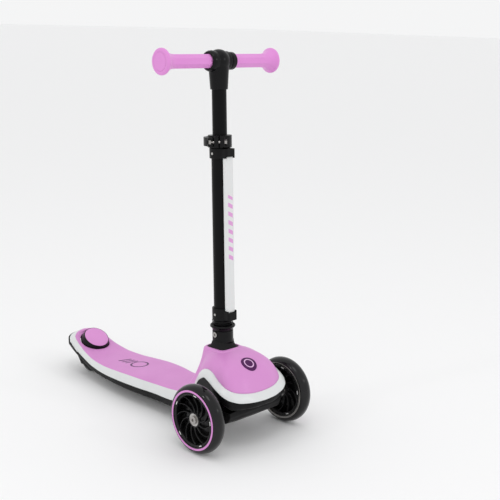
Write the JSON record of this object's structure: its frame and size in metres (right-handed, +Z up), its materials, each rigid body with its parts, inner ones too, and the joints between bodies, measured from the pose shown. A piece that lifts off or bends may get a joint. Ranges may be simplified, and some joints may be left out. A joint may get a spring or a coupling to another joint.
{
  "type": "kick scooter",
  "caption": "Child's lean-to-steer kick scooter with two front wheels, a rear wheel under a foot brake, and a folding height-adjustable stem with T handlebar.",
  "frame": {"origin": "under the middle of the scooter's length and width, on the floor plane", "axes": "+Z up, the scooter travels towards -Y, +X is the rider's left"},
  "size_m": [0.255, 0.55, 0.6687],
  "materials": {
    "pink_plastic": "satin moulded pink",
    "pink_grip": "soft faceted grip",
    "pink_trim": "gloss ring",
    "black_plastic": "fine moulded grain",
    "black_rubber": "matte",
    "diffuser": "milky translucent",
    "badge": "dark purple",
    "clear_black_tyre": "glossy translucent urethane",
    "wheel_core": "gloss black",
    "tube_paint": "satin powder coat",
    "cast_frame": "as cast",
    "steel": "zinc plated",
    "chrome": "polished",
    "nylon": "natural nylon",
    "board": "printed board",
    "cell": "plain wrapped cell",
    "switch_rubber": "grey button"
  },
  "bodies": {
    "deck": {"deck_base": "black_plastic", "deck_top": "pink_plastic", "deck_screws": "steel", "deck_light_strip": "diffuser", "led_boards": "board", "battery_holder": "black_plastic", "battery_cells": "cell", "battery_door": "black_plastic", "nose_cover": "pink_plastic", "nose_light_strip": "diffuser", "nose_tray": "black_plastic", "nose_badge": "badge", "neck_boot": "black_rubber", "head_frame": "cast_frame", "frame_bolts": "steel", "kingpin": "steel", "tilt_springs": "steel", "rear_axle": "steel", "brake_pin": "steel", "brake_spring": "steel"},
    "truck": {"truck_beam": "black_plastic", "kingpin_bushes": "nylon", "left_axle": "chrome", "right_axle": "chrome"},
    "left_wheel": {"left_tyre": "clear_black_tyre", "left_hub": "wheel_core", "left_bearings": "steel", "left_trim": "pink_trim"},
    "right_wheel": {"right_tyre": "clear_black_tyre", "right_hub": "wheel_core", "right_bearings": "steel", "right_trim": "pink_trim"},
    "rear_wheel": {"rear_tyre": "clear_black_tyre", "rear_hub": "wheel_core", "rear_bearings": "steel"},
    "brake": {"brake_fender": "black_plastic", "brake_pad": "pink_plastic", "brake_shoe": "black_rubber"},
    "stem": {"fold_head": "black_plastic", "fold_bolt": "chrome", "lower_tube": "tube_paint", "lower_bracket": "black_plastic", "upper_bracket": "black_plastic", "bracket_screws": "steel", "stem_light_bar": "diffuser", "stem_led_board": "board", "clamp_collar": "black_plastic", "clamp_bolt": "steel", "lock_spring": "steel"},
    "sleeve": {"lock_sleeve": "black_plastic"},
    "lever": {"clamp_lever": "black_plastic"},
    "handlebar": {"upper_tube": "tube_paint", "t_head": "black_plastic", "bar_tube": "steel", "grip_left": "pink_grip", "grip_right": "pink_grip", "grip_collar": "black_plastic", "bar_ends": "pink_grip"},
    "light_switch": {"light_button": "switch_rubber"}
  },
  "joints": [
    {"name": "lean_steer", "type": "hinge", "parent": "deck", "child": "truck", "pos_m": [0, -0.207, 0.058], "axis": [0, -0.6428, 0.766], "range_deg": [-10, 10], "stiffness_Nm_per_rad": 12, "deforming": ["tilt_springs"]},
    {"name": "left_wheel_spin", "type": "hinge", "parent": "truck", "child": "left_wheel", "pos_m": [0.1056, -0.215, 0.06], "axis": [1, 0, 0], "continuous": true},
    {"name": "right_wheel_spin", "type": "hinge", "parent": "truck", "child": "right_wheel", "pos_m": [-0.1056, -0.215, 0.06], "axis": [1, 0, 0], "continuous": true},
    {"name": "rear_wheel_spin", "type": "hinge", "parent": "deck", "child": "rear_wheel", "pos_m": [0, 0.223, 0.027], "axis": [1, 0, 0], "continuous": true},
    {"name": "brake_press", "type": "hinge", "parent": "deck", "child": "brake", "pos_m": [0, 0.189, 0.038], "axis": [-1, 0, 0], "range_deg": [0, 6], "stiffness_Nm_per_rad": 4, "deforming": ["brake_spring"]},
    {"name": "stem_fold", "type": "hinge", "parent": "deck", "child": "stem", "pos_m": [0, -0.1607, 0.176], "axis": [-1, 0, 0], "range_deg": [0, 85]},
    {"name": "sleeve_lift", "type": "slide", "parent": "stem", "child": "sleeve", "axis": [0, 0.0534, 0.9986], "range_m": [0, 0.0075], "stiffness_N_per_m": 400, "deforming": ["lock_spring"]},
    {"name": "clamp_lever_open", "type": "hinge", "parent": "stem", "child": "lever", "pos_m": [-0.02722, -0.14795, 0.5138], "axis": [0, 0.0534, 0.9986], "range_deg": [0, 110]},
    {"name": "bar_height", "type": "slide", "parent": "stem", "child": "handlebar", "axis": [0, 0.0534, 0.9986], "range_m": [-0.07, 0.08]},
    {"name": "light_press", "type": "slide", "parent": "deck", "child": "light_switch", "axis": [0, 0, 1], "range_m": [0, 0.0012], "stiffness_N_per_m": 300}
  ]
}
